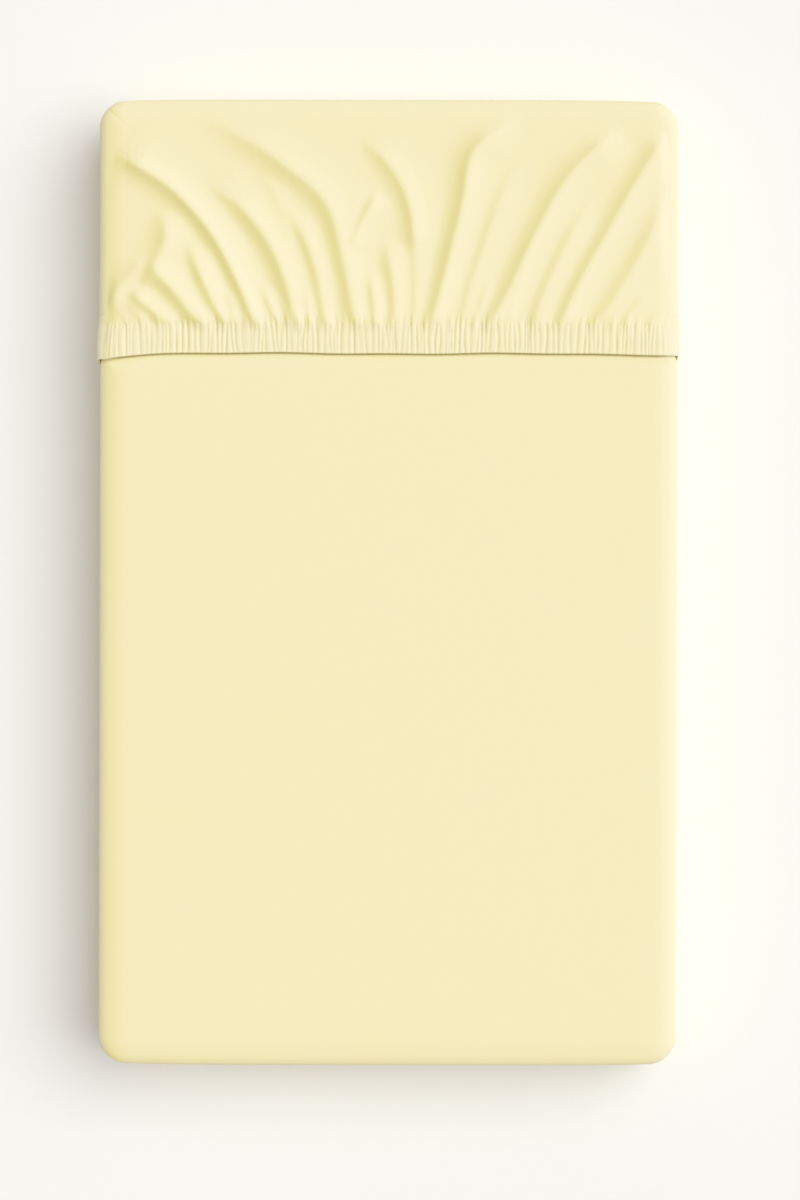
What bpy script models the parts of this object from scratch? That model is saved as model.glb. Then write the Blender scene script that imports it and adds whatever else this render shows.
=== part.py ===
"""A cot mattress lying face down, with its fitted sheet pulled over the head end.

The sheet is one piece of cloth. It covers the face underneath and the head wall, comes 264 mm
over the upper face at the head, and ends all round in a gathered hem with elastic inside. From
the upper face the hem passes over both top edges, sweeps down the side walls and runs half way
up the walls round the foot, so most of the upper face is the bare mattress.

The origin is under the middle of the mattress. +Y is the head end and +Z is up.
"""

import math

import bmesh
import bpy
from mathutils import Vector

# Outside of the sheet where it lies flat, in metres.
WIDTH = 0.600
LENGTH = 1.003
DEPTH = 0.100
SHEET_CORNER = 0.026  # corner radius seen from above, and how far each edge rounds over the faces
SHEET_EDGE = 0.008  # how far each edge rounds down the walls
END_BOW = 0.006  # both ends bow: at the corners they stand back by this share of their distance
BOW_POWER = 6  # the bow is slight in the middle and gathers towards the corners

# The cloth and its hem.
CLOTH = 0.0015
WRAP = 0.264  # from the head wall to the hem on the upper face
BAND = 0.029  # width of the gathered hem
SWEEP = 0.050  # radius of the hem's turn on a side wall, which leaves it at half the depth
HEM_Y = LENGTH / 2 - WRAP
SWEEP_Y = HEM_Y - SWEEP
HEM_Z = DEPTH - SWEEP

# How far the cloth stands off the rounded box along the hem: flat part, then added on a gather.
HEM_LIFT, HEM_GATHER = 0.0005, 0.0016
MIDDLE_LIFT, MIDDLE_GATHER = 0.0014, 0.0012
SEAM_LIFT, SEAM_GATHER = 0.0002, 0.0008
PUFF = 0.0022  # the cloth's swelling just past the band's seam
PUFF_REACH = 0.030  # how far the gathers run on into the cloth

FORWARD = 0.0013  # the gathers stand out at the foot and not at the head: this centres the whole

# The mattress under the sheet, and where it is bare.
MATTRESS_CORNER = 0.028
MATTRESS_EDGE = 0.009
MATTRESS_INSET = 0.0023  # the elastic draws the foam in by this much
BARE_INSET = 0.0004
HELD = 0.008  # how far past the hem the foam is still held in
SWELL = 0.022  # how far after that it takes to swell back

# Mesh spacing.
ACROSS_STEPS = 48
HEAD_STEPS = 12
SWEEP_DEGREES = (4, 8, 15, 26, 38, 51, 64, 77, 90)  # close together over the rounded edge
SIDE_STEPS = 21
FOOT_STEPS = 18
BOW_STEPS = 6
TURN_STEPS = 6
SWELL_STEPS = 2
HALF_MARGIN = math.tan(math.radians(22.5))  # halves a rounded margin's 45 degrees
CURVE_STEPS = 8  # between two stops of a fold's path
MM = 0.001

# One row a fold on the upper face, in millimetres: five places along its steep side, across from
# the middle and up from the seam of the band, its height and how wide its hollow is. A fold rises
# from the hollow on its left to a soft crest and falls away more slowly on its right.
FOLDS = (
    # foot_x, foot_v, low_x, low_v, mid_x, mid_v, high_x, high_v, tip_x, tip_v, height, hollow, fading
    (-266, 0, -268, 11, -271, 22, -274, 33, -279, 46, 2.6, 14.0, 0.6),
    (-232, 0, -243, 9, -254, 18, -264, 27, -276, 38, 5.4, 7.0, 0.35),
    (-291, 32, -281, 44, -270, 54, -261, 67, -252, 86, 3.8, 8.0, 0.45),
    (-201, 0, -212, 14, -226, 31, -240, 48, -251, 65, 7.6, 8.5, 0.25),
    (-250, 58, -243, 72, -237, 85, -236, 99, -246, 122, 5.4, 9.0, 0.5),
    (-173, 0, -184, 19, -195, 42, -204, 63, -217, 95, 6.4, 7.5, 0.35),
    (-142, 0, -162, 47, -184, 88, -222, 133, -288, 177, 7.2, 7.0, 0.15),
    (-117, 0, -122, 11, -127, 22, -132, 34, -138, 50, 4.4, 5.5, 0.6),
    (-101, 0, -110, 40, -127, 80, -160, 121, -208, 150, 6.5, 8.5, 0.4),
    (-70, 0, -74, 30, -80, 58, -93, 92, -122, 134, 4.8, 7.5, 0.45),
    (-40, 0, -52, 65, -71, 125, -114, 163, -208, 219, 6.2, 9.5, 0.4),
    (-17, 2, -18, 18, -20, 33, -21, 48, -22, 66, 4.6, 6.0, 0.5),
    (2, 0, 2, 22, 0, 45, -4, 70, -10, 100, 4.6, 8.0, 0.45),
    (-39, 89, -32, 105, -25, 118, -18, 131, -12, 147, 3.6, 5.5, 0.4),
    (24, 0, 24, 55, 21, 105, 8, 157, -37, 193, 4.2, 7.0, 0.4),
    (40, 0, 56, 60, 72, 125, 85, 183, 137, 221, 5.9, 7.5, 0.2),
    (71, 0, 81, 42, 97, 90, 114, 138, 146, 200, 3.2, 8.0, 0.5),
    (101, 0, 123, 42, 149, 98, 184, 158, 241, 212, 5.6, 7.5, 0.15),
    (145, 0, 157, 35, 171, 67, 189, 102, 218, 150, 3.5, 7.5, 0.45),
    (173, 0, 196, 50, 224, 100, 250, 147, 287, 208, 5.1, 7.0, 0.12),
    (210, 0, 228, 28, 249, 63, 268, 100, 283, 156, 4.2, 9.0, 0.4),
    (237, 1, 246, 14, 254, 24, 263, 36, 274, 50, 2.8, 6.0, 0.5),
)
STOPS = 5
CREST = 0.65  # from a fold's steep side to its crest, as a share of its hollow's width
SLOW_SIDE = 1.9  # the far side is this many times as wide as the hollow
END_REACH = 3.0  # how far past its ends a fold still lifts the cloth, in widths of its hollow
BLEND = 2.5  # neighbouring folds are added as powers, so that the higher one leads
RISE_FROM, RISE_OVER = 0.014, 0.028  # where the folds begin to rise, before the seam


def smooth(share):
    """0 to 1 with level ends."""
    share = min(max(share, 0.0), 1.0)
    return share * share * (3 - 2 * share)


def onto_form(point, rise, corner, edge):
    """A point of the sharp-cornered box, drawn in onto the same box with rounded edges.

    It is then moved out along the surface by rise.
    """
    reach = Vector((WIDTH / 2 - corner, LENGTH / 2 - corner, DEPTH / 2 - edge))
    centred = Vector(point) - Vector((0, 0, DEPTH / 2))
    core = Vector(max(-reach[i], min(reach[i], centred[i])) for i in range(3))
    radii = Vector((corner, corner, edge))
    turn = Vector((centred[i] - core[i]) / radii[i] for i in range(3)).normalized()
    surface = core + Vector(turn[i] * radii[i] for i in range(3))
    outward = Vector(turn[i] / radii[i] for i in range(3)).normalized()
    placed = surface + outward * rise
    placed.y *= 1 - END_BOW * (2 * point[0] / WIDTH) ** BOW_POWER
    return placed + Vector((0, 0, DEPTH / 2))


def on_sheet(point, rise=0.0):
    return onto_form(point, rise, SHEET_CORNER, SHEET_EDGE)


def evenly(start, end, steps):
    return [start + (end - start) * i / steps for i in range(steps + 1)]


def margin(half):
    """The rounded margin of a side whose half-length is given: its half-way point and its end."""
    inner = half - SHEET_CORNER
    return [inner + SHEET_CORNER * HALF_MARGIN, half]


def across(steps):
    """Places across the width, with the rounded margins at both ends."""
    inner = WIDTH / 2 - SHEET_CORNER
    right = margin(WIDTH / 2)
    return [-x for x in reversed(right)] + evenly(-inner, inner, steps) + right


def uneven(number):
    """A share between 0.4 and 1 that differs from gather to gather."""
    return 0.7 + 0.3 * math.sin(2.3 * number) * math.cos(0.7 * number + 1.0)


def gathered(number):
    """Every second place along the hem is the crest of a gather."""
    return uneven(number) if number % 2 else 0.0


def path_of(fold):
    """Places along a fold's steep side and the direction there, through its five stops."""
    stops = [Vector(fold[i : i + 2]) for i in range(0, 2 * STOPS, 2)]
    before = [stops[0] * 2 - stops[1]] + stops
    after = stops + [stops[-1] * 2 - stops[-2]]
    pulls = [(after[i + 1] - before[i]) / 2 for i in range(STOPS)]
    found = []
    for i in range(STOPS - 1):
        for t in evenly(0, 1, CURVE_STEPS)[:-1]:
            place = stops[i] + (stops[i + 1] - stops[i]) * smooth(t)
            place += (pulls[i] * (1 - t) - pulls[i + 1] * t) * t * (1 - t)
            found.append(place)
    found.append(stops[-1])
    ends = zip(found[:1] + found[:-1], found[1:] + found[-1:])
    return list(zip(evenly(0, 1, len(found) - 1), found, [(b - a).normalized() for a, b in ends]))


def fold_height(fold, path, place):
    """How high one fold lifts the cloth at a place, in millimetres."""
    height, hollow, fading = fold[2 * STOPS :]
    t, nearest, along = min(path, key=lambda entry: (entry[1] - place).length_squared)
    offset = place - nearest
    crest = CREST * hollow
    right = offset.x * along.y - offset.y * along.x - crest
    wider = 1 + (SLOW_SIDE - 1) * smooth((right + crest) / (2 * crest))
    beside = math.exp(-(math.hypot(right, crest) - crest) / (hollow * wider))
    beyond = 1 - smooth(abs(offset.dot(along)) / (END_REACH * hollow))
    return height * beside * beyond * smooth((1 - t) / fading)


def hem_stations():
    """Places all round the hem, each with its direction into the cloth, on the sharp box.

    They run across the upper face, down the right wall, round the foot and up the left wall.
    """
    over = [(Vector((x, HEM_Y, DEPTH)), Vector((0, 1, 0))) for x in across(ACROSS_STEPS)]
    wall = []
    for degrees in SWEEP_DEGREES:
        angle = math.radians(degrees)
        into = Vector((0, math.cos(angle), -math.sin(angle)))
        wall.append((Vector((WIDTH / 2, SWEEP_Y, DEPTH)) + into * SWEEP, into))
    down = Vector((0, 0, -1))
    foot_core = SHEET_CORNER - LENGTH / 2
    runs = evenly(SWEEP_Y, foot_core, SIDE_STEPS)[1:] + [-y for y in margin(LENGTH / 2)]
    wall += [(Vector((WIDTH / 2, y, HEM_Z)), down) for y in runs]
    mirrored = Vector((-1, 1, 1))
    left = [(place * mirrored, into * mirrored) for place, into in reversed(wall)]
    foot = [(Vector((x, -LENGTH / 2, HEM_Z)), down) for x in reversed(across(FOOT_STEPS)[1:-1])]
    return over, wall + foot + left


def sheet_mesh():
    """The sheet's outer surface: hem band, upper panel, walls and underside."""
    cloth = bmesh.new()

    def row(points, rises):
        return [cloth.verts.new(on_sheet(p, rise)) for p, rise in zip(points, rises)]

    def join(first, second, closed):
        count = len(first)
        for i in range(count if closed else count - 1):
            after = (i + 1) % count
            cloth.faces.new((first[i], first[after], second[after], second[i]))

    over, rest = hem_stations()
    ring = over + rest
    band_rows = (
        (0.0, HEM_LIFT, HEM_GATHER),
        (BAND / 2, MIDDLE_LIFT, MIDDLE_GATHER),
        (BAND, SEAM_LIFT, SEAM_GATHER),
    )
    band = []
    for inwards, lift, gather in band_rows:
        points = [place + into * inwards for place, into in ring]
        band.append(row(points, [lift + gather * gathered(i) for i in range(len(ring))]))
    join(band[0], band[1], closed=True)
    join(band[1], band[2], closed=True)

    paths = [(fold, path_of(fold)) for fold in FOLDS]
    seam_y = HEM_Y + BAND
    head_core = LENGTH / 2 - SHEET_CORNER
    panel_ys = evenly(seam_y, head_core, HEAD_STEPS)[1:] + margin(LENGTH / 2)
    panel = [band[2][: len(over)]]
    for y in panel_ys:
        up = y - seam_y
        points, rises = [], []
        for i, (place, _) in enumerate(over):
            here = Vector((place.x, up)) / MM
            fold = sum(fold_height(fold, path, here) ** BLEND for fold, path in paths)
            fold = fold ** (1 / BLEND) * MM * smooth((up + RISE_FROM) / RISE_OVER)
            edge_fade = smooth((WIDTH / 2 - abs(place.x)) / SHEET_CORNER)
            head_fade = smooth((LENGTH / 2 - y) / SHEET_CORNER)
            puff = PUFF * (1 - smooth(up / PUFF_REACH)) * (0.5 + 0.5 * gathered(i))
            points.append(Vector((place.x, y, DEPTH)))
            rises.append(fold * edge_fade * head_fade + puff)
        panel.append(row(points, rises))
        join(panel[-2], panel[-1], closed=False)

    # The upper border of the walls: round the panel, then back along the band's seam.
    right_border = [(line[-1], (WIDTH / 2, y)) for line, y in zip(panel, [seam_y] + panel_ys)]
    head_border = [(vert, (place.x, LENGTH / 2)) for vert, (place, _) in zip(panel[-1], over)]
    left_border = [(line[0], (-WIDTH / 2, y)) for line, y in zip(panel, [seam_y] + panel_ys)]
    border = [(vert, Vector((x, y, DEPTH))) for vert, (x, y) in right_border]
    border += [(vert, Vector((x, y, DEPTH))) for vert, (x, y) in reversed(head_border[1:-1])]
    border += [(vert, Vector((x, y, DEPTH))) for vert, (x, y) in reversed(left_border)]
    seam = [place + into * BAND for place, into in ring]
    border += list(reversed(list(zip(band[2], seam))[len(over) :]))

    upper = [vert for vert, _ in border]
    shoulder = SHEET_EDGE / (DEPTH - SHEET_EDGE)
    under_turn = SHEET_CORNER * (1 - HALF_MARGIN)
    levels = (
        # down to the lower edge's round, down over that round, in under the mattress
        (shoulder * (1 - HALF_MARGIN), 0, 0),
        (shoulder, 0, 0),
        (1, 0, 0),
        (1, HALF_MARGIN, 0),
        (1, 1, 0),
        (1, 1, under_turn),
        (1, 1, SHEET_CORNER),
    )
    for down, over_round, inwards in levels:
        narrower, shorter = 1 - 2 * inwards / WIDTH, 1 - 2 * inwards / LENGTH
        points = []
        for _, point in border:
            height = (point.z + (SHEET_EDGE - point.z) * down) * (1 - over_round)
            points.append(Vector((point.x * narrower, point.y * shorter, height)))
        lower = row(points, [0.0] * len(border))
        join(upper, lower, closed=True)
        upper = lower
    cloth.faces.new(upper)
    bmesh.ops.recalc_face_normals(cloth, faces=cloth.faces)
    mesh = bpy.data.meshes.new("fitted_sheet")
    cloth.to_mesh(mesh)
    cloth.free()
    return mesh


def bare_share(point):
    """0 under the sheet and 1 where the mattress is bare, changing just past the hem."""
    towards_head = max(point.y - SWEEP_Y, 0.0)
    past_hem = SWEEP - math.hypot(towards_head, DEPTH - point.z)
    return smooth((past_hem - HELD) / SWELL)


def mattress_mesh():
    """A box cut into bands, then rounded, and drawn in where the sheet's elastic holds it."""
    foam = bmesh.new()
    bmesh.ops.create_cube(foam, size=1.0)
    for vert in foam.verts:
        vert.co = Vector((vert.co.x * WIDTH, vert.co.y * LENGTH, (vert.co.z + 0.5) * DEPTH))
    half_turn = MATTRESS_CORNER * HALF_MARGIN
    x_core = WIDTH / 2 - MATTRESS_CORNER
    y_core = LENGTH / 2 - MATTRESS_CORNER
    cuts = [((1, 0, 0), sign * x) for sign in (1, -1) for x in (x_core, x_core + half_turn)]
    cuts += [((1, 0, 0), x) for x in evenly(-x_core, x_core, BOW_STEPS)[1:-1]]
    cuts += [((0, 1, 0), sign * y) for sign in (1, -1) for y in (y_core, y_core + half_turn)]
    cuts += [((0, 1, 0), y) for y in evenly(SWEEP_Y, HEM_Y, TURN_STEPS)]
    cuts += [((0, 0, 1), z) for z in (MATTRESS_EDGE, DEPTH - MATTRESS_EDGE)]
    cuts += [((0, 0, 1), z) for z in evenly(HEM_Z + HELD, HEM_Z + HELD + SWELL, SWELL_STEPS)]
    for normal, offset in cuts:
        bmesh.ops.bisect_plane(
            foam,
            geom=foam.verts[:] + foam.edges[:] + foam.faces[:],
            plane_co=Vector(normal) * offset,
            plane_no=normal,
        )
    for vert in foam.verts:
        inset = MATTRESS_INSET + (BARE_INSET - MATTRESS_INSET) * bare_share(vert.co)
        vert.co = onto_form(vert.co, -inset, MATTRESS_CORNER, MATTRESS_EDGE)
    bmesh.ops.recalc_face_normals(foam, faces=foam.faces)
    mesh = bpy.data.meshes.new("mattress")
    foam.to_mesh(mesh)
    foam.free()
    return mesh


def material(name, colour, roughness):
    made = bpy.data.materials.new(name)
    made.use_nodes = True
    shader = made.node_tree.nodes["Principled BSDF"]
    shader.inputs["Base Color"].default_value = (*colour, 1)
    shader.inputs["Roughness"].default_value = roughness
    shader.inputs["Metallic"].default_value = 0.0
    return made


def add_object(mesh, finish, collection):
    made = bpy.data.objects.new(mesh.name, mesh)
    made.location.y = FORWARD
    mesh.materials.append(finish)
    mesh.shade_smooth()
    mesh.set_sharp_from_angle(angle=math.radians(40))
    collection.objects.link(made)
    return made


def main():
    for old in list(bpy.data.objects):
        bpy.data.objects.remove(old, do_unlink=True)
    collection = bpy.data.collections.new("fitted_sheet_on_mattress")
    bpy.context.scene.collection.children.link(collection)

    cotton = material("pale_yellow_cotton", (0.91, 0.82, 0.52), 0.85)
    cover = material("pale_yellow_mattress_cover", (0.91, 0.81, 0.52), 0.8)
    sheet = add_object(sheet_mesh(), cotton, collection)
    add_object(mattress_mesh(), cover, collection)

    thickness = sheet.modifiers.new("cloth thickness", "SOLIDIFY")
    thickness.thickness = CLOTH
    thickness.offset = -1


main()
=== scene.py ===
# %% [markdown]
# # A fitted cot sheet, half pulled onto its mattress
#
# The mattress lies face down. The sheet wraps the face underneath and comes over the head end, so
# its gathered hem lies across the upper face. Two pieces are made here: the sheet, as one surface
# of cloth with its folds, gathers and turned hem, and the mattress that it holds.

import math

import bmesh
import bpy
import numpy as np
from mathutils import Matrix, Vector


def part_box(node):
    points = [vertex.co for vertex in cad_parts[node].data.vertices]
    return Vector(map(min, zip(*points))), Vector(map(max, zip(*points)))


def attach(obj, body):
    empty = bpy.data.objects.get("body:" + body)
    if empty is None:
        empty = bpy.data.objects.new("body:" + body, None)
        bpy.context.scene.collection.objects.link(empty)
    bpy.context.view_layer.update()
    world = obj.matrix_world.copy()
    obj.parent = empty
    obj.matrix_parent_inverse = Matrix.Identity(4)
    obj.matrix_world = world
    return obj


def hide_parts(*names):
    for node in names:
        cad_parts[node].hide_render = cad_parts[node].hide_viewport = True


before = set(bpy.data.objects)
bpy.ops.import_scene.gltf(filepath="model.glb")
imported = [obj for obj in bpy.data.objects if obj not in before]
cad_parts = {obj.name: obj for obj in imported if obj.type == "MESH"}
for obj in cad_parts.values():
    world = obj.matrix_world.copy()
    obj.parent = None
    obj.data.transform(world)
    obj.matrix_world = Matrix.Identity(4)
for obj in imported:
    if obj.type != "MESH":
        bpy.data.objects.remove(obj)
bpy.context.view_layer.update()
MM = 0.001

# %% [markdown]
# ## Sizes
#
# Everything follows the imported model. The bare mattress gives the rounded box that the sheet lies
# on: the sheet is flush with it, because the elastic draws the foam in under the cloth. The hem's
# own sizes are those of an ordinary cot sheet: a 29 mm casing for flat elastic. It lies 264 mm in
# from the head, sweeps down both side walls and runs half way up the walls round the foot.

# %% The rounded box and the hem, in metres
BARE_INSET, HELD_INSET = 0.4 * MM, 2.3 * MM
low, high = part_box("mattress")
WIDTH = high.x - low.x + 2 * BARE_INSET
LENGTH = high.y - low.y + BARE_INSET + HELD_INSET
DEPTH = high.z + BARE_INSET
MIDDLE_Y = low.y - BARE_INSET + LENGTH / 2
SHEET_CORNER, SHEET_EDGE = 26 * MM, 8 * MM
MATTRESS_CORNER, MATTRESS_EDGE = 28 * MM, 8 * MM
UNDER_CLOTH = 1.7 * MM
WRAP = 264 * MM
BAND = 29 * MM
SWEEP = 50 * MM
HEM_Y = LENGTH / 2 - WRAP
SWEEP_Y = HEM_Y - SWEEP
HEM_Z = DEPTH - SWEEP
END_BOW, BOW_POWER = 0.006, 6
print(f"rounded box {WIDTH / MM:.1f} x {LENGTH / MM:.1f} x {DEPTH / MM:.1f} mm")


# %% [markdown]
# ## One form under everything
#
# Cloth and cover both lie on a box with rounded edges. Modelling that box twice would let them
# drift apart, so one function does it: it takes points of a sharp-cornered box, draws them in onto
# the rounded one, and then lifts each along the surface's own outward direction. Both ends of a
# foam block bow a little, because the cloth pulls hardest at its corners.

# %% The rounded form
def on_form(points, lift, corner=SHEET_CORNER, edge=SHEET_EDGE):
    """Points of the sharp box, drawn onto the rounded one and lifted off it, in the row's frame."""
    centre = np.array([0, 0, DEPTH / 2])
    reach = np.array([WIDTH / 2 - corner, LENGTH / 2 - corner, DEPTH / 2 - edge])
    radii = np.array([corner, corner, edge])
    centred = points - centre
    core = np.clip(centred, -reach, reach)
    turn = (centred - core) / radii
    turn /= np.linalg.norm(turn, axis=1, keepdims=True)
    outward = turn / radii
    outward /= np.linalg.norm(outward, axis=1, keepdims=True)
    placed = core + turn * radii + outward * np.asarray(lift)[:, None]
    placed[:, 1] *= 1 - END_BOW * (2 * points[:, 0] / WIDTH) ** BOW_POWER
    return placed + centre + np.array([0, MIDDLE_Y, 0])


def smooth(share):
    """0 to 1 with level ends."""
    share = np.clip(share, 0, 1)
    return share * share * (3 - 2 * share)


print("upper face of the form at", round(float(on_form(np.array([[0, 0, DEPTH]]), [0])[0, 2]), 4))

# %% [markdown]
# ## The hem's route
#
# The hem is followed all the way round as a row of stations. Each station is a point on the hem's
# edge and a direction into the cloth. Across the upper face they are a millimetre apart, which is
# fine enough for gathers a few millimetres wide; down and round the walls two are enough.

# %% Stations along the hem
STEPS_ACROSS = 600
STEPS_SWEEP = 50
STEPS_SIDE = 334
STEPS_FOOT = 302


def hem_route():
    """The hem's points, directions into the cloth and distances, from the top left, clockwise."""
    across = np.linspace(-WIDTH / 2, WIDTH / 2, STEPS_ACROSS + 1)
    over = [((x, HEM_Y, DEPTH), (0, 1, 0)) for x in across]
    right = []
    for angle in np.linspace(0, math.pi / 2, STEPS_SWEEP + 1)[1:]:
        into = np.array([0, math.cos(angle), -math.sin(angle)])
        right.append((np.array([WIDTH / 2, SWEEP_Y, DEPTH]) + into * SWEEP, into))
    for y in np.linspace(SWEEP_Y, -LENGTH / 2, STEPS_SIDE + 1)[1:]:
        right.append(((WIDTH / 2, y, HEM_Z), (0, 0, -1)))
    foot_xs = np.linspace(WIDTH / 2, -WIDTH / 2, STEPS_FOOT + 1)[1:-1]
    foot = [((x, -LENGTH / 2, HEM_Z), (0, 0, -1)) for x in foot_xs]
    flip = np.array([-1, 1, 1])
    left = [(np.array(place) * flip, np.array(into) * flip) for place, into in reversed(right)]
    places, intos = (np.array(column, float) for column in zip(*(over + right + foot + left)))
    strides = np.linalg.norm(np.diff(places, axis=0), axis=1)
    return places, intos, np.concatenate([[0], np.cumsum(strides)])


hem_places, hem_intos, hem_run = hem_route()
STATIONS = len(hem_run)
HEM_LENGTH = hem_run[-1] + np.linalg.norm(hem_places[0] - hem_places[-1])
print(f"{STATIONS} stations along {HEM_LENGTH:.3f} m of hem")

# %% [markdown]
# ## Gathers
#
# Elastic draws the hem up into small pleats: rounded puffs with narrow valleys between them. They
# are never even, so each valley gets its own place, depth and lean from one seeded generator, and
# runs on past the seam for a length of its own. A regular wave would look like corrugated card.
# Near the left end the gathers fan out and bend, and near the right end they die down.

# %% Valleys between the gathers
PITCH_ACROSS, PITCH_WALLS = 5.4 * MM, 11 * MM
PITCH_LEAST, PITCH_MOST = 0.45, 1.55  # shares of the pitch
NEAR_FACE = 30 * MM  # the fine pitch goes on this far down the walls
DIP_LEAST, DIP_SPREAD, DIP_POWER = 0.6, 1.1, 1.5  # in mm, and a power that keeps most shallow
LEAN_SPREAD, BEND_SPREAD = 0.05, 0.6  # a slope, and mm sideways at the casing's middle
RUN_ON_LEAST, RUN_ON_SPREAD = 3 * MM, 16 * MM  # how far past the seam a valley goes on
PUFF_END_LOW, PUFF_END_HIGH = -3, 6  # in mm past the seam
END_REACH = 30 * MM  # how far from either end of the upper hem the gathers differ
LEFT_FAN, LEFT_BEND, RIGHT_CALM = 0.26, 1.2, 0.6
FAN_WIDTH, FAN_LIMIT, FAN_TURN = 0.36, 1.3, 0.03  # past the seam the valleys turn outwards
RIM, RIM_SHARE = 2.2 * MM, 0.3  # the turned edge is thicker, so less of a valley shows on it
ROUNDNESS = 0.62  # under 1, the puffs are broad and the valleys narrow
LEAST_GAP = 0.01 * MM
chance = np.random.default_rng(11)


def make_valleys():
    """One row a valley: place along the hem, depth, lean, bend, reach and how far its puff ends."""
    places = []
    here = 0.0
    while here < HEM_LENGTH - PITCH_ACROSS / 2:
        places.append(here)
        on_walls = WIDTH + NEAR_FACE < here < HEM_LENGTH - NEAR_FACE
        pitch = PITCH_WALLS if on_walls else PITCH_ACROSS
        here += pitch * chance.uniform(PITCH_LEAST, PITCH_MOST)
    count = len(places)
    at_left = 1 - smooth(np.array(places) / END_REACH)
    at_right = 1 - smooth(np.abs(np.array(places) - WIDTH) / END_REACH)
    dip = DIP_LEAST + DIP_SPREAD * chance.uniform(0, 1, count) ** DIP_POWER
    depth = dip * (1 - RIGHT_CALM * at_right) * MM
    lean = chance.normal(0, LEAN_SPREAD, count) + LEFT_FAN * at_left
    bend = (chance.normal(0, BEND_SPREAD, count) - LEFT_BEND * at_left) * MM
    reach = RUN_ON_LEAST + RUN_ON_SPREAD * chance.uniform(0, 1, count) ** 2
    end = chance.uniform(PUFF_END_LOW, PUFF_END_HIGH, count) * MM
    return np.column_stack([places, depth, lean, bend, reach, end])


VALLEYS = make_valleys()


def fan_lean(run):
    """How fast the valleys turn outwards with their distance from the seam, on the upper face."""
    x = run - WIDTH / 2
    fan = np.clip(x / (FAN_WIDTH * WIDTH), -FAN_LIMIT, FAN_LIMIT) * FAN_TURN / MM
    return np.where(run <= WIDTH, fan, 0.0)


def gathers(run, inwards):
    """The dip below the tops of the puffs, and how far past the seam the puffs end, along a row."""
    place, depth, lean, bend, reach, end = VALLEYS.T
    past = max(inwards - BAND, 0)
    bow = math.sin(math.pi * min(inwards / BAND, 1))
    centre = place + lean * (inwards - BAND / 2) + bend * bow + fan_lean(place) * past**2
    centre = np.maximum.accumulate(centre)
    centre = np.append(centre, centre[0] + HEM_LENGTH)
    after = np.clip(np.searchsorted(centre, run, side="right"), 1, len(place))
    gap = np.maximum(centre[after] - centre[after - 1], LEAST_GAP)
    across = np.clip((run - centre[after - 1]) / gap, 0, 1)
    at_rim = RIM_SHARE + (1 - RIM_SHARE) * smooth(inwards / RIM)
    deep = depth * (1 - smooth(past / reach)) * at_rim
    deep = deep[after - 1] * (1 - across) + deep[after % len(place)] * across
    ends = np.interp(run, (centre[:-1] + centre[1:]) / 2, end)
    return deep * (1 - np.sin(math.pi * across) ** ROUNDNESS), ends


print(f"{len(VALLEYS)} gathers, {np.sum(VALLEYS[:, 0] < WIDTH)} of them across the upper face")
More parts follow.
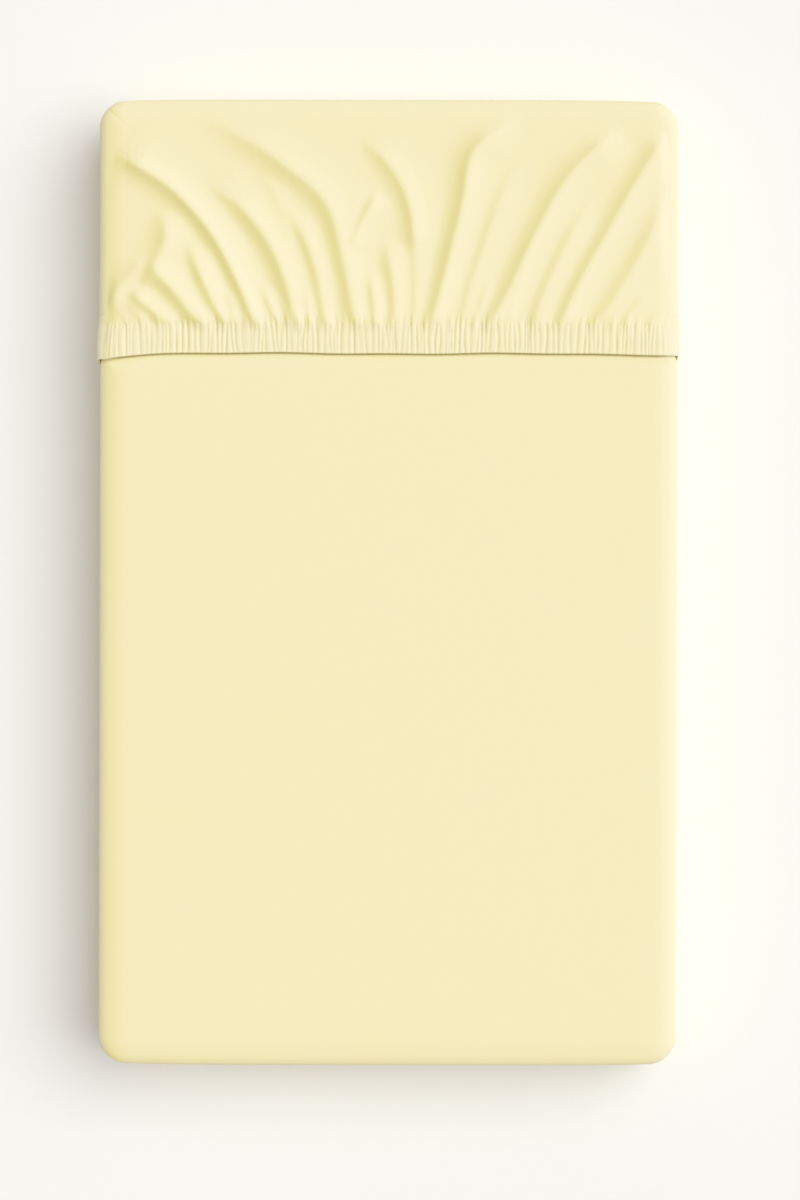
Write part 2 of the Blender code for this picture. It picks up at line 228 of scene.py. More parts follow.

# %% [markdown]
# ## Folds
#
# From the gathers the cloth is pulled towards the head's two corners, and it folds along those
# lines. Each fold is a row of a short table: five places along its steep side, from the seam to its
# tip. A cloth simulation would give folds of its own choosing, so these are placed one by one. A fold
# rises from a hollow on its left to a soft crest, and falls away more slowly on its right. Where
# folds meet, their heights are blended by a power sum, so that the higher one carries on.

# %% The fold table, in millimetres across from the middle and up from the seam
FOLDS = (
    # foot_x, foot_v, low_x, low_v, mid_x, mid_v, high_x, high_v, tip_x, tip_v, height, hollow, fading
    (-266, 0, -268, 11, -271, 22, -274, 33, -279, 46, 2.6, 14.0, 0.6),
    (-232, 0, -243, 9, -254, 18, -264, 27, -276, 38, 5.4, 7.0, 0.35),
    (-291, 32, -281, 44, -270, 54, -261, 67, -252, 86, 3.8, 8.0, 0.45),
    (-201, 0, -213, 15, -228, 34, -244, 52, -253, 78, 7.4, 8.5, 0.3),
    (-250, 58, -243, 72, -237, 85, -236, 99, -246, 122, 5.4, 9.0, 0.5),
    (-160, 0, -163, 12, -166, 24, -169, 36, -173, 50, 3.4, 5.0, 0.6),
    (-173, 0, -184, 19, -195, 42, -204, 63, -218, 98, 6.4, 7.5, 0.5),
    (-142, 0, -162, 47, -184, 88, -222, 133, -288, 177, 7.2, 7.0, 0.15),
    (-117, 0, -122, 11, -127, 22, -132, 34, -138, 50, 4.4, 5.5, 0.6),
    (-101, 0, -110, 40, -127, 80, -160, 121, -208, 150, 6.5, 8.5, 0.4),
    (-84, 2, -86, 15, -87, 27, -89, 38, -92, 54, 3.4, 5.0, 0.6),
    (-70, 0, -74, 30, -80, 58, -93, 92, -122, 134, 4.8, 7.5, 0.45),
    (-112, 98, -116, 114, -121, 131, -132, 149, -150, 166, 2.2, 9.0, 0.6),
    (-40, 0, -52, 65, -71, 125, -114, 163, -208, 219, 6.2, 9.5, 0.4),
    (-17, 2, -18, 18, -20, 33, -21, 48, -22, 66, 4.6, 6.0, 0.5),
    (2, 0, 2, 22, 0, 45, -4, 70, -10, 100, 4.6, 8.0, 0.45),
    (-39, 89, -32, 105, -25, 118, -18, 131, -12, 147, 3.6, 5.5, 0.4),
    (-44, 106, -42, 120, -39, 134, -37, 147, -36, 160, 1.4, 6.0, 0.6),
    (24, 0, 24, 55, 21, 105, 8, 157, -37, 193, 2.8, 7.0, 0.4),
    (22, 92, 20, 112, 12, 138, -3, 163, -36, 193, 4.2, 7.0, 0.4),
    (40, 0, 56, 60, 72, 125, 85, 183, 137, 221, 5.9, 7.5, 0.2),
    (71, 0, 81, 42, 97, 90, 114, 138, 146, 200, 3.2, 8.0, 0.5),
    (88, 0, 92, 16, 96, 32, 102, 50, 110, 70, 2.2, 5.0, 0.6),
    (101, 0, 123, 42, 149, 98, 184, 158, 241, 212, 5.6, 7.5, 0.15),
    (119, 0, 124, 16, 130, 34, 138, 52, 149, 74, 2.4, 5.0, 0.6),
    (145, 0, 157, 35, 171, 67, 189, 102, 218, 150, 3.5, 7.5, 0.45),
    (173, 0, 196, 50, 224, 100, 250, 147, 287, 208, 5.1, 7.0, 0.12),
    (210, 0, 228, 28, 249, 63, 268, 100, 283, 156, 4.2, 9.0, 0.4),
    (237, 1, 246, 14, 254, 24, 263, 36, 274, 50, 2.8, 6.0, 0.5),
)
STOPS = 5
CREST = 0.65  # how round the crest is, and how far right of the steep side, in hollows
SLOW_SIDE = 1.9  # how much slower a fold falls away on its right
TIP_REACH = 3  # how far past its tip a fold dies out, in hollows
SAMPLES = 60
BLEND = 2.5


def fold_path(fold):
    """A smooth row of places through a fold's given ones, and its directions."""
    stops = np.array(fold[: 2 * STOPS], float).reshape(STOPS, 2)
    at = np.concatenate([[0], np.cumsum(np.linalg.norm(np.diff(stops, axis=0), axis=1))])
    pull = np.gradient(stops, at, axis=0)
    here = np.linspace(0, at[-1], SAMPLES)
    piece = np.clip(np.searchsorted(at, here, side="right") - 1, 0, STOPS - 2)
    span = (at[piece + 1] - at[piece])[:, None]
    t = (here - at[piece])[:, None] / span
    start, end = stops[piece], stops[piece + 1]
    path = start + (end - start) * t * t * (3 - 2 * t)
    path += (pull[piece] * (1 - t) - pull[piece + 1] * t) * span * t * (1 - t)
    along = np.gradient(path, axis=0)
    return path, along / np.linalg.norm(along, axis=1, keepdims=True)


def fold_lift(fold, x, v):
    """The lift of one fold at places on the upper face, all in millimetres."""
    height, hollow, fading = fold[2 * STOPS :]
    crest = CREST * hollow
    path, along = fold_path(fold)
    squared = (x[:, None] - path[:, 0]) ** 2 + (v[:, None] - path[:, 1]) ** 2
    nearest = squared.argmin(axis=1)
    off_x, off_v = x - path[nearest, 0], v - path[nearest, 1]
    ahead = off_x * along[nearest, 0] + off_v * along[nearest, 1]
    right = off_x * along[nearest, 1] - off_v * along[nearest, 0] - crest
    share = nearest / (SAMPLES - 1)
    dies = smooth((1 - share) / fading)
    reach = hollow * (1 + (SLOW_SIDE - 1) * smooth((right + crest) / (2 * crest)))
    beside = np.exp(-(np.hypot(right, crest) - crest) / reach)
    return height * beside * dies * (1 - smooth(np.abs(ahead) / (TIP_REACH * hollow)))


print(f"{len(FOLDS)} folds, the highest {max(fold[2 * STOPS] for fold in FOLDS)} mm")

# %% [markdown]
# ## How high the cloth stands
#
# Two functions add it all up. Along the hem a row of heights gives the casing its section: a turned
# edge and a rounded band over the elastic, which falls away about the seam. The folds rise there,
# so the cloth as a whole stays about level from the casing to the panel.

# %% The section of the hem and the lift of the panel
SECTION_AT = np.array([0, 0.7, 1.7, 2.7, 6, 14, 22, 26, 28, 29.3, 31, 35, 42, 60, 90]) * MM
SECTION = np.array([1.6, 2.2, 2.3, 2.3, 2.6, 3.4, 3.2, 2.7, 2.4, 2.1, 1.8, 1.2, 0.8, 0.4, 0]) * MM
RISE_FROM, RISE_OVER = 12 * MM, 22 * MM  # folds begin before the seam
EDGE_FADE = 20 * MM
WAVE_ACROSS, WAVE_UP, WAVE_SWAY = 31 * MM, 43 * MM, 55 * MM
LONG_WAVE, CROSS_WAVE = 67 * MM, 49 * MM
WAVE_HEIGHTS = 0.15 * MM, 0.2 * MM


def hem_lift(run, inwards):
    """Lift of the cloth near the hem: its section, less the valleys between the gathers."""
    dip, ends = gathers(run, inwards)
    return np.interp(inwards - ends * smooth(inwards / BAND), SECTION_AT, SECTION) - dip


def panel_lift(x, v):
    """Lift of the folds and of a slight unevenness on the upper face, in metres."""
    lifts = np.array([fold_lift(fold, x / MM, v / MM) for fold in FOLDS])
    folds = (lifts**BLEND).sum(axis=0) ** (1 / BLEND) * MM
    at_seam = smooth((v + RISE_FROM) / RISE_OVER)
    at_sides = smooth((WIDTH / 2 - np.abs(x)) / EDGE_FADE)
    at_head = smooth((WRAP - BAND - v) / EDGE_FADE)
    return (folds + slow_waves(x, v)) * at_seam * at_sides * at_head


def slow_waves(x, v):
    """Slight unevenness over the whole panel, as cloth that has been folded and pulled on has."""
    short = np.sin(x / WAVE_ACROSS + 1.3 * np.sin(v / WAVE_SWAY)) * np.sin(v / WAVE_UP + 0.7)
    long = np.sin((x + v) / LONG_WAVE + 2.1) * np.cos((x - 0.6 * v) / CROSS_WAVE)
    return WAVE_HEIGHTS[0] * short + WAVE_HEIGHTS[1] * long


print("band is", round(float(SECTION.max() / MM), 1), "mm proud at its middle")

# %% [markdown]
# ## The sheet's surface
#
# The surface is lofted: rows of points along the hem, then rows up the panel, then rows down the
# walls from whatever borders them. A plane shrunk onto the block would be quicker to make, but its
# rows wouldn't follow the hem and its edge couldn't turn under. The rows along the hem are finer
# than the others, so where two densities meet, every second point of the fine row sits in the
# middle of a coarser face's side.

# %% Points, rows and the faces between them
LIP = ((4.0, 0.0), (1.5, 0.1), (0.3, 0.5))  # mm in under the turned edge, share of the lift
# The rows beyond, in mm in from the hem's edge, are closest where the section bends most.
BAND_ROWS = (0, 0.5, 1.2, 2.4, 4.5, 8, 12, 16, 20, 23.5, 26, 27.4, 28.3, 29, 29.7, 30.6, 32, 34.5, 37.5, 41)
PANEL_ROWS = 118
WALL_SHARES = (0.035, 0.08, 0.16, 0.36, 0.6, 0.84, 0.9, 0.95, 1.0)
UNDER_INSETS = (7, 15, 26)  # mm in from the outline, underneath
ON_TOP = STEPS_ACROSS + 1
SEAM_DIP, SEAM_WIDTH, SEAM_REACH = 0.6 * MM, 2.6 * MM, 40 * MM
LEFT_DROOP, DROOP_FROM, DROOP_OVER, WALL_DROOP_OVER = 5.5 * MM, 225 * MM, 75 * MM, 120 * MM
WANDERS = (
    # size, length, start
    (0.5 * MM, 41 * MM, 0.5),
    (0.35 * MM, 17.3 * MM, 0.0),
)
NOTCH_SHARE = 0.5  # how much of a valley's depth also notches the hem's edge
FLARE, FLARE_REACH = 1.8 * MM, 40 * MM  # the left end of the hem stands off the block
EDGE_REACH, EDGE_FLATTER = 15 * MM, 0.3  # the casing is pulled flatter over the side edges
WALL_SETTLE = 1.6  # over 1, the cloth is flush before it reaches the foot of the wall
points, faces = [], []


def corner_seam(places):
    """How far the cloth is drawn in along the seam at each corner of the box."""
    in_x, in_y = (size / 2 - np.abs(places[:, axis]) for axis, size in enumerate((WIDTH, LENGTH)))
    along = smooth(1 - np.maximum(in_x, in_y) / SEAM_REACH)
    return SEAM_DIP * along * np.exp(-(((in_x - in_y) / SEAM_WIDTH) ** 2))


def add_row(places, lift):
    """Puts a row of points on the form and returns their numbers."""
    first = sum(len(row) for row in points)
    points.append(on_form(places, lift - corner_seam(places)))
    return np.arange(first, first + len(places))


def join_rows(before, after, closed, between=None):
    """Faces between two rows; between holds a fine row's extra point on each of before's sides."""
    for i in range(len(before) if closed else len(before) - 1):
        j = (i + 1) % len(before)
        middle = [] if between is None or between[i] is None else [between[i]]
        faces.append([before[i], *middle, before[j], after[j], after[i]])


def turned(between):
    """The extra points of a closed row's sides, for the row taken the other way round."""
    return None if between is None else [*between[-2::-1], between[-1]]


def hem_droop(run):
    """The hem sags towards the foot near the left edge, and wanders a little all round."""
    x = run - WIDTH / 2
    left = LEFT_DROOP * np.clip((-x - DROOP_FROM) / DROOP_OVER, 0, 1) ** 2
    beyond_left = LEFT_DROOP * smooth(1 - (HEM_LENGTH - run) / WALL_DROOP_OVER)
    wander = sum(size * np.sin(run / length + start) for size, length, start in WANDERS)
    return np.where(run <= WIDTH, left, beyond_left) + wander


def hem_row(inwards, share=1.0):
    """A row of points all round, a distance in from the hem's edge, at a share of its lift."""
    notch = NOTCH_SHARE * gathers(hem_run, inwards)[0]
    widened = (hem_droop(hem_run) - notch) * (1 - smooth(inwards / BAND))
    places = hem_places + hem_intos * (inwards - widened)[:, None]
    beside = smooth((np.abs(places[:, 0]) - WIDTH / 2 + EDGE_REACH) / EDGE_REACH)
    from_left = np.minimum(hem_run, HEM_LENGTH - hem_run)
    flare = FLARE * smooth(1 - from_left / FLARE_REACH) * (1 - smooth(inwards / BAND))
    lift = (hem_lift(hem_run, inwards) * (1 - EDGE_FLATTER * beside) + flare) * share
    if inwards > BAND - RISE_FROM:
        x = hem_places[:ON_TOP, 0]
        lift[:ON_TOP] += panel_lift(x, np.full(ON_TOP, inwards - BAND))
    return add_row(places, lift)


print("rows from the hem's edge to past the seam:", len(LIP) + len(BAND_ROWS))

# %% Build the rows along the hem
rows = [hem_row(inwards * MM, share) for inwards, share in LIP]
rows += [hem_row(inwards * MM) for inwards in BAND_ROWS]
for earlier, later in zip(rows, rows[1:]):
    join_rows(earlier, later, closed=True)
print(sum(len(row) for row in points), "points along the hem")

# %% Build the panel
panel_xs = hem_places[:ON_TOP:2, 0]
panel_vs = np.linspace(BAND_ROWS[-1] * MM - BAND, WRAP - BAND, PANEL_ROWS + 1)
panel = [rows[-1][:ON_TOP:2]]
extra = rows[-1][1:ON_TOP:2]
for v in panel_vs[1:]:
    vs = np.full(len(panel_xs), v)
    places = np.column_stack([panel_xs, HEM_Y + BAND + vs, np.full(len(panel_xs), DEPTH)])
    lift = panel_lift(panel_xs, vs) + hem_lift(panel_xs + WIDTH / 2, BAND + v)
    panel.append(add_row(places, lift))
    join_rows(panel[-2], panel[-1], closed=False, between=extra)
    extra = None
print(len(panel), "rows up the panel")

# %% Build the walls and the underside
seam_places = hem_places + hem_intos * (BAND_ROWS[-1] * MM)
panel_ys = HEM_Y + BAND + panel_vs
right_side = [(row[-1], (WIDTH / 2, y, DEPTH), None) for row, y in zip(panel[:-1], panel_ys)]
head_side = [(number, (x, LENGTH / 2, DEPTH), None) for number, x in zip(panel[-1], panel_xs)]
left_side = [(row[0], (-WIDTH / 2, y, DEPTH), None) for row, y in zip(panel, panel_ys)]
border = right_side + head_side[:0:-1] + left_side[:0:-1]
for station in range(STATIONS, ON_TOP - 1, -2):
    at = station % STATIONS
    border.append((rows[-1][at], seam_places[at], rows[-1][station - 1]))
upper, border_places, between = zip(*border)
border_places = np.array(border_places)
flush = on_form(border_places, np.zeros(len(border)))
border_lift = np.linalg.norm(np.concatenate(points)[list(upper)] - flush, axis=1)
for share in WALL_SHARES:
    places = border_places * np.array([1, 1, 1 - share])
    lower = add_row(places, border_lift * (1 - smooth(share * WALL_SETTLE)))
    join_rows(upper[::-1], lower[::-1], closed=True, between=turned(between))
    upper, between = lower, None
for inset in UNDER_INSETS:
    shrink = np.array([1 - 2 * inset * MM / WIDTH, 1 - 2 * inset * MM / LENGTH, 0])
    lower = add_row(border_places * shrink, np.zeros(len(border)))
    join_rows(upper[::-1], lower[::-1], closed=True)
    upper = lower
faces.append(list(upper[::-1]))
print(len(border), "columns down the walls")

# %% [markdown]
# The cloth's colour carries painted shade where it turns away from the key light, which stands to
# the right and a little towards the head, and a painted highlight where it turns towards it. The
# painted shade could be painted on by hand, but taken from the cloth's slope it follows the folds
# wherever they are moved. It is kept at each point, and fades out on the walls and on the left
# edge, which turns away altogether. The casing is two layers of cloth over the elastic; its colour
# is painted paler, a painted lightening against the shade between its gathers.

# %% Make the sheet's mesh
# Painted shade on slopes turned away from the key light, painted highlight on slopes turned to it.
STEEP, WALL_POWER = 0.38, 3  # the slope of full tone, and how fast it fades on the walls
KEY_IN_PLAN = np.array([1.0, 0.3])  # slopes to the left count most, those to the foot a little
TONE_MARGIN = 16 * MM
# The casing's colour is painted paler, a painted lightening against the shade between its gathers.
CASING_PAINTED_LIGHT, CASING_FADE = 0.28, 8 * MM  # the fade is centred on the seam


def smooth_object(mesh, extra_painted_light=0.0):
    """Shades a mesh smooth, keeps its painted shade and highlight at each point and puts it in the scene.
    """
    mesh.shade_smooth()
    normals = np.empty(3 * len(mesh.vertices), np.float32)
    mesh.vertex_normals.foreach_get("vector", normals)
    normals = normals.reshape(-1, 3)
    xs = np.array([vert.co.x for vert in mesh.vertices])
    fade = smooth((xs + WIDTH / 2) / TONE_MARGIN)
    # Painted shade where the cloth faces away from the key light, painted highlight where it faces it.
    away = -(normals[:, :2] @ KEY_IN_PLAN) * normals[:, 2] ** WALL_POWER
    tone = np.clip(away / STEEP, -1, 1) * fade
    layer = mesh.attributes.new("painted_light_and_shade", "FLOAT", "POINT")
    layer.data.foreach_set("value", (tone + extra_painted_light).astype(np.float32))
    made = bpy.data.objects.new(mesh.name, mesh)
    bpy.context.scene.collection.objects.link(made)
    return made


sheet_mesh = bpy.data.meshes.new("sheet_cloth")
sheet_mesh.from_pydata(np.concatenate(points).tolist(), [], [[int(i) for i in f] for f in faces])
sheet_mesh.validate()
hem_inwards = np.array([inwards for inwards, share in LIP] + list(BAND_ROWS)) * MM
# Painted lightening over the casing, fading out about the seam.
casing = 1 - smooth((hem_inwards - BAND + CASING_FADE / 2) / CASING_FADE)
sheet_painted_light = np.zeros(len(sheet_mesh.vertices))
sheet_painted_light[: len(casing) * STATIONS] = -CASING_PAINTED_LIGHT * np.repeat(casing, STATIONS)
sheet = smooth_object(sheet_mesh, sheet_painted_light)
triangles = sum(len(face) - 2 for face in faces)
print(f"sheet: {len(sheet.data.vertices)} points, {triangles} triangles")

# %% [markdown]
# ## The mattress
#
# A foam block in a plain stretch cover. A bevelled box would do for the block alone, but not for
# what the elastic does to it: under the sheet the foam is held in, the hem's edge bites a crease
# into it, and just past the hem it swells back until it is flush with the cloth. So it starts as a
# cube, is cut into bands where it bends, and every point is then drawn onto the form. Beside the
# crease the cover's colour is darkened: painted shade in the crease, and a painted shadow of the
# hem just past it.

# %% Build the mattress
HELD, SWELL, SIDE_SWELL = 2 * MM, 14 * MM, 5 * MM  # past the hem; it swells faster at the sides
CROWN = 0.8 * MM
PINCH, PINCH_REACH, PINCH_MARGIN = 1.7 * MM, 1.0 * MM, 24 * MM
# Painted shade in the hem's crease, a painted shadow of the hem just past it, and how far that shadow
# reaches.
CREASE_PAINTED_SHADE, HEM_PAINTED_SHADOW, HEM_SHADOW_REACH = 0.9, 0.35, 6 * MM
DROOP_DEPTH = 60 * MM  # the hem's droop has gone this far down the walls
ACROSS_STEP, ALONG_STEP, WALL_STEP = 12 * MM, 30 * MM, 4 * MM
SWEEP_STEP, HEM_STEP = 3 * MM, 0.8 * MM
BEFORE_HEM, PAST_HEM = 13 * MM, 3 * MM
EDGE_CUTS = 7


def beyond_hem(places):
    """How far past the hem's edge each place is, towards the foot."""
    towards_head = np.maximum(places[:, 1] - SWEEP_Y, 0)
    depth = DEPTH - places[:, 2]
    droop = hem_droop(places[:, 0] + WIDTH / 2) * smooth(1 - depth / DROOP_DEPTH)
    return SWEEP - np.hypot(towards_head, depth) - droop


def on_face(places):
    """1 over the upper face, falling to 0 at its side edges and on the walls."""
    return smooth((WIDTH / 2 - np.abs(places[:, 0])) / PINCH_MARGIN)


def pinched(places):
    """1 where the hem's edge bites into the foam, and 0 away from it and on the walls."""
    return on_face(places) * np.exp(-((np.maximum(beyond_hem(places), 0) / PINCH_REACH) ** 2))


def mattress_lift(places):
    """Lift off the form: held in under the sheet, almost flush and slightly crowned elsewhere."""
    loose = on_face(places)
    bare = smooth((beyond_hem(places) - HELD * loose) / (SIDE_SWELL + (SWELL - SIDE_SWELL) * loose))
    crown = (1 - (2 * places[:, 0] / WIDTH) ** 2) * (1 - (2 * places[:, 1] / LENGTH) ** 2)
    on_top = smooth((places[:, 2] - DEPTH / 2) / (DEPTH / 2))
    lift = -UNDER_CLOTH + (UNDER_CLOTH - BARE_INSET + CROWN * crown * on_top) * bare
    return lift - PINCH * pinched(places)


def cut_places(core, half, step):
    """Places to cut a side: close together over the rounded margins, step apart between them."""
    rounded = np.linspace(core, half, EDGE_CUTS)[:-1]
    between = np.linspace(-core, core, max(2, round(2 * core / step) + 1))
    return np.concatenate([-rounded[:0:-1], between, rounded[1:]])


def build_mattress():
    """The cube cut along its three directions and drawn onto the form."""
    foam = bmesh.new()
    bmesh.ops.create_cube(foam, size=1.0)
    for vert in foam.verts:
        vert.co = Vector((vert.co.x * WIDTH, vert.co.y * LENGTH, (vert.co.z + 0.5) * DEPTH))
    x_cuts = cut_places(WIDTH / 2 - MATTRESS_CORNER, WIDTH / 2, ACROSS_STEP)
    y_cuts = cut_places(LENGTH / 2 - MATTRESS_CORNER, LENGTH / 2, ALONG_STEP)
    by_sweep = np.arange(SWEEP_Y - SWEEP_STEP, HEM_Y - BEFORE_HEM - MM, SWEEP_STEP)
    by_hem = np.arange(HEM_Y - BEFORE_HEM, HEM_Y + PAST_HEM, HEM_STEP)
    y_cuts = np.concatenate([y_cuts, by_sweep, by_hem])
    z_cuts = np.arange(WALL_STEP, DEPTH - WALL_STEP / 2, WALL_STEP)
    for normal, places in (((1, 0, 0), x_cuts), ((0, 1, 0), y_cuts), ((0, 0, 1), z_cuts)):
        for place in places:
            bmesh.ops.bisect_plane(
                foam,
                geom=foam.verts[:] + foam.edges[:] + foam.faces[:],
                plane_co=Vector(normal) * float(place),
                plane_no=normal,
            )
    places = np.array([vert.co[:] for vert in foam.verts])
    moved = on_form(places, mattress_lift(places), MATTRESS_CORNER, MATTRESS_EDGE)
    for vert, place in zip(foam.verts, moved):
        vert.co = place
    mesh = bpy.data.meshes.new("mattress_cover")
    foam.to_mesh(mesh)
    foam.free()
    # Painted shadow of the hem past its edge, and painted shade in its crease.
    beside = np.exp(-((np.maximum(beyond_hem(places), 0) / HEM_SHADOW_REACH) ** 2)) * on_face(places)
    shown = beyond_hem(places) > -PINCH_REACH
    return smooth_object(mesh, shown * (CREASE_PAINTED_SHADE * pinched(places) + HEM_PAINTED_SHADOW * beside))


mattress = build_mattress()
print(f"mattress: {len(mattress.data.vertices)} points, {len(mattress.data.polygons)} faces")

# %% [markdown]
# ## Finishes
#
# Both finishes are cloth, so neither is shiny. What the eye reads is the colour, a soft fuzz that
# lightens what turns away, and a grain too fine to see from two metres.

# %% Colour and node helpers
def linear(code):
    """A colour in linear light from its sRGB hex code."""
    parts = [int(code[i : i + 2], 16) / 255 for i in (1, 3, 5)]
    return [p / 12.92 if p <= 0.04045 else ((p + 0.055) / 1.055) ** 2.4 for p in parts] + [1]


def add_node(tree, kind, links=None, **settings):
    """Adds a node: settings are its properties or its sockets' values, links feed its sockets."""
    node = tree.nodes.new(kind)
    for name, value in settings.items():
        if hasattr(node, name):
            setattr(node, name, value)
        else:
            node.inputs[name.replace("_", " ")].default_value = value
    for socket, source in (links or {}).items():
        tree.links.new(source, node.inputs[socket])
    return node


# %% [markdown]
# ### Combed cotton, plain weave
# The sheet is a light dyed cotton with a matt face. A weave could be modelled thread by thread, but
# its threads are about 0.3 mm apart, too fine to show, so it is a bump, drawn 0.9 mm apart and
# shallow. The colour runs through three tones: a painted highlight where a fold turns to the light,
# the cloth's own colour, and painted shade on its side turned away. A faint mottle keeps the flat
# stretches from looking like plastic. The mattress has a stretch cotton cover of the same colour,
# drawn a little coarser, so one function makes both.

# %% Cotton, for the sheet and for the cover
MOTTLE_SCALE, MOTTLE_DETAIL = 14.0, 4.0
# Places on the ramp: the cloth's own colour, its painted highlight and its painted shade.
MIDDLE_AT, PAINTED_HIGHLIGHT_AT, PAINTED_SHADE_AT = 0.5, 0.1, 0.9
# How far random mottle, and painted light and shade, move the colour along the ramp.
MOTTLE_SHARE, PAINTED_LIGHT_SHARE = 0.12, 0.4
WAVE_PERIOD = 2 * math.pi / 20
WEAVE_STRENGTH, WEAVE_DEPTH = 0.15, 0.1 * MM
# The first colour is a painted highlight, the middle one the cloth's own colour, the last painted shade.
PAINTED_HIGHLIGHT_COLOUR, FACE, PAINTED_SHADE_COLOUR = "#EFE7CA", "#F2E8BD", "#F0E597"


def cotton(name, pale, face, deep, thread):
    """Cloth: a painted highlight on a fold's lit side, its own colour, painted shade on its steep side,
    threads a distance apart.
    """
    made = bpy.data.materials.new(name)
    made.use_nodes = True
    tree = made.node_tree
    shader = tree.nodes["Principled BSDF"]
    where = add_node(tree, "ShaderNodeTexCoord").outputs["Object"]
    mottle = add_node(
        tree, "ShaderNodeTexNoise", {"Vector": where}, Scale=MOTTLE_SCALE, Detail=MOTTLE_DETAIL
    )
    tone = add_node(tree, "ShaderNodeAttribute", attribute_name="painted_light_and_shade")
    level = add_node(tree, "ShaderNodeMath", {0: mottle.outputs["Fac"]}, operation="MULTIPLY_ADD")
    level.inputs[1].default_value = MOTTLE_SHARE
    level.inputs[2].default_value = MIDDLE_AT - MOTTLE_SHARE / 2
    amount = add_node(
        tree, "ShaderNodeMath", {0: tone.outputs["Fac"], 2: level.outputs[0]}, operation="MULTIPLY_ADD"
    )
    amount.inputs[1].default_value = PAINTED_LIGHT_SHARE
    # The ramp turns painted light and shade, with the mottle, into colour.
    colour_with_painted_light = add_node(tree, "ShaderNodeValToRGB", {"Fac": amount.outputs[0]})
    stops = colour_with_painted_light.color_ramp.elements
    stops[0].position, stops[0].color = PAINTED_HIGHLIGHT_AT, linear(pale)
    stops[1].position, stops[1].color = PAINTED_SHADE_AT, linear(deep)
    stops.new(MIDDLE_AT).color = linear(face)
    tree.links.new(colour_with_painted_light.outputs["Color"], shader.inputs["Base Color"])
    weave = None
    for direction in ("X", "Y", "Z"):
        threads = add_node(
            tree, "ShaderNodeTexWave", {"Vector": where},
            bands_direction=direction, Scale=WAVE_PERIOD / thread, Distortion=0.6, Detail=1.0,
        )
        if weave:
            total = add_node(tree, "ShaderNodeMath", {0: weave, 1: threads.outputs["Fac"]}, operation="ADD")
            weave = total.outputs[0]
        else:
            weave = threads.outputs["Fac"]
    bump = add_node(
        tree, "ShaderNodeBump", {"Height": weave}, Strength=WEAVE_STRENGTH, Distance=WEAVE_DEPTH
    )
    tree.links.new(bump.outputs["Normal"], shader.inputs["Normal"])
    shader.inputs["Roughness"].default_value = 0.85
    shader.inputs["Specular IOR Level"].default_value = 0.2
    shader.inputs["Sheen Weight"].default_value = 0.1
    shader.inputs["Sheen Roughness"].default_value = 0.5
    return made


sheet_cotton = cotton("combed_cotton_plain_weave", PAINTED_HIGHLIGHT_COLOUR, FACE, PAINTED_SHADE_COLOUR, 0.9 * MM)
cover_cotton = cotton("stretch_cotton_cover", PAINTED_HIGHLIGHT_COLOUR, FACE, PAINTED_SHADE_COLOUR, 1.2 * MM)
sheet.data.materials.append(sheet_cotton)
mattress.data.materials.append(cover_cotton)
print("finishes:", sheet_cotton.name, "and", cover_cotton.name)

# %% [markdown]
# ## Floor, light and camera
#
# The floor is plain matt paper, nearly white. One broad soft light stands to the right and a little
# towards the head, so every fold is lit on its right and shaded on its left, and a pale fill comes
# from all round. The camera hangs straight above, three metres up. Its lens is worked out so that
# the frame is 1.25 m high at the level of the block's widest outline.

# %% Floor
FLOOR_SIDE = 12.0
GRAIN_SCALE, GRAIN_DETAIL = 40.0, 3.0
floor_mesh = bpy.data.meshes.new("floor")
corner = FLOOR_SIDE / 2
floor_mesh.from_pydata(
    [(-corner, -corner, 0), (corner, -corner, 0), (corner, corner, 0), (-corner, corner, 0)],
    [], [(0, 1, 2, 3)],
)
floor = bpy.data.objects.new("floor", floor_mesh)
bpy.context.scene.collection.objects.link(floor)
paper = bpy.data.materials.new("matt_paper_floor")
paper.use_nodes = True
paper_shader = paper.node_tree.nodes["Principled BSDF"]
grain = add_node(paper.node_tree, "ShaderNodeTexNoise", Scale=GRAIN_SCALE, Detail=GRAIN_DETAIL)
paper_tone = add_node(paper.node_tree, "ShaderNodeValToRGB", {"Fac": grain.outputs["Fac"]})
paper_tone.color_ramp.elements[0].color = linear("#F3F2EF")
paper_tone.color_ramp.elements[1].color = linear("#F5F4F1")
paper.node_tree.links.new(paper_tone.outputs["Color"], paper_shader.inputs["Base Color"])
paper_shader.inputs["Roughness"].default_value = 0.95
paper_shader.inputs["Specular IOR Level"].default_value = 0.0
floor_mesh.materials.append(paper)
print("floor", FLOOR_SIDE, "m a side")

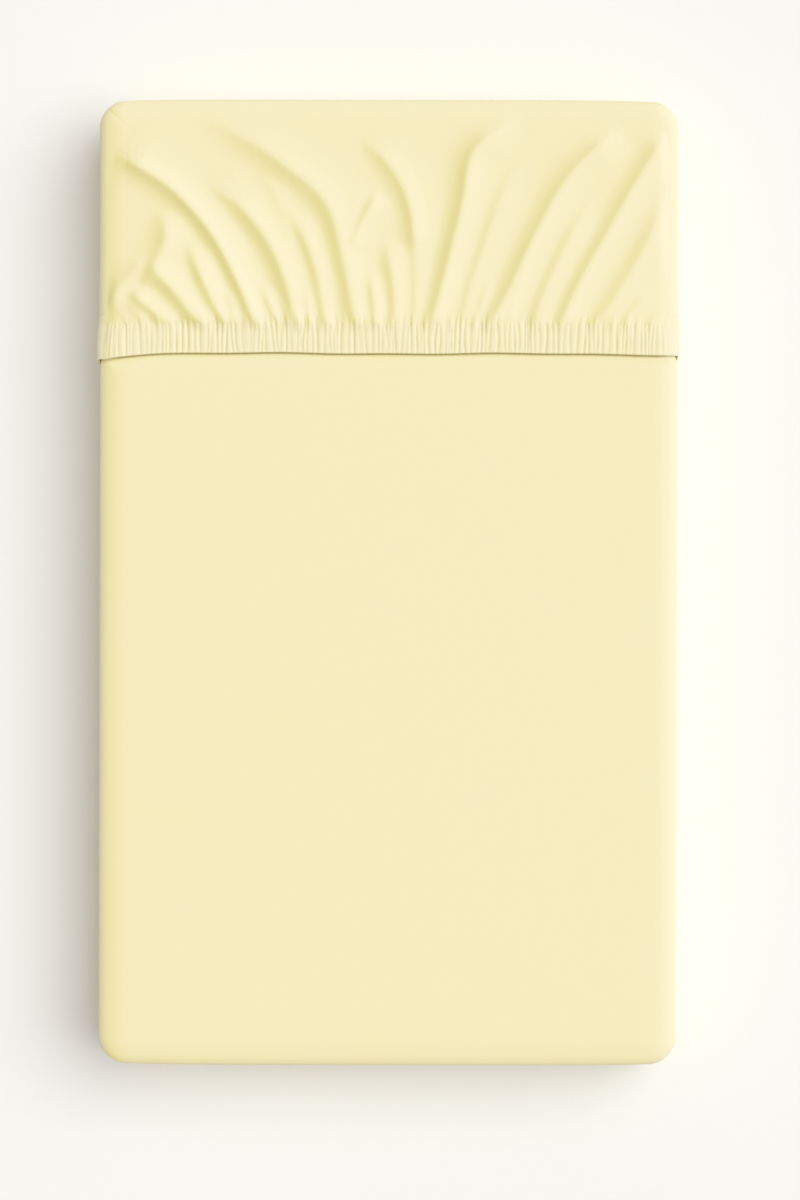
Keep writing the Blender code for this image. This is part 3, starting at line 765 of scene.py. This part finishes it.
# %% Lights
KEY_FROM = Vector((0.62, 0.25, 1.0))
key_data = bpy.data.lights.new("softbox", "SUN")
key_data.angle = math.radians(62)
key_data.energy = 2.12
key_data.color = (0.968, 1.0, 0.972)
key = bpy.data.objects.new("softbox", key_data)
key.rotation_euler = KEY_FROM.to_track_quat("Z", "Y").to_euler()
bpy.context.scene.collection.objects.link(key)
world = bpy.data.worlds.new("studio_fill")
world.use_nodes = True
fill = world.node_tree.nodes["Background"]
fill.inputs["Color"].default_value = (1.0, 0.953, 0.964, 1)
fill.inputs["Strength"].default_value = 0.502
bpy.context.scene.world = world
print("key light", round(math.degrees(KEY_FROM.angle(Vector((0, 0, 1)))), 1), "degrees off upright")

# %% Camera
CAMERA_X, CAMERA_Y, CAMERA_HEIGHT = 0.0126, -0.0166, 3.0
CAMERA_TURN = 0.13  # degrees
SENSOR = 36
OUTLINE_Z = 0.084
FRAME_HEIGHT_AT_OUTLINE = 1.2498
camera_data = bpy.data.cameras.new("camera")
camera_data.sensor_fit = "VERTICAL"
camera_data.sensor_height = SENSOR
camera_data.lens = SENSOR * (CAMERA_HEIGHT - OUTLINE_Z) / FRAME_HEIGHT_AT_OUTLINE
camera = bpy.data.objects.new("camera", camera_data)
camera.location = (CAMERA_X, CAMERA_Y, CAMERA_HEIGHT)
camera.rotation_euler = (0, 0, math.radians(CAMERA_TURN))
bpy.context.scene.collection.objects.link(camera)
bpy.context.scene.camera = camera
bpy.context.scene.view_settings.view_transform = "Standard"
print("lens", round(camera_data.lens, 1), "mm")

# %% [markdown]
# ## Hang each piece from the root
#
# Each piece is hung from the root body, and the imported part that it stands for is hidden. The
# sheet was cut flat: its length is the underside with half the foot wall, the head wall and the part
# over the upper face. Its width is the underside with both walls, and 75 mm more on each side for
# the turned hem and the fullness that the elastic gathers. At each corner a square is cut out and the
# two edges are sewn together.

for piece, node, slot in (
    (sheet, "fitted_sheet", "sheet_cotton"),
    (mattress, "mattress", "mattress_cover"),
):
    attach(piece, "root")
    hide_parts(node)
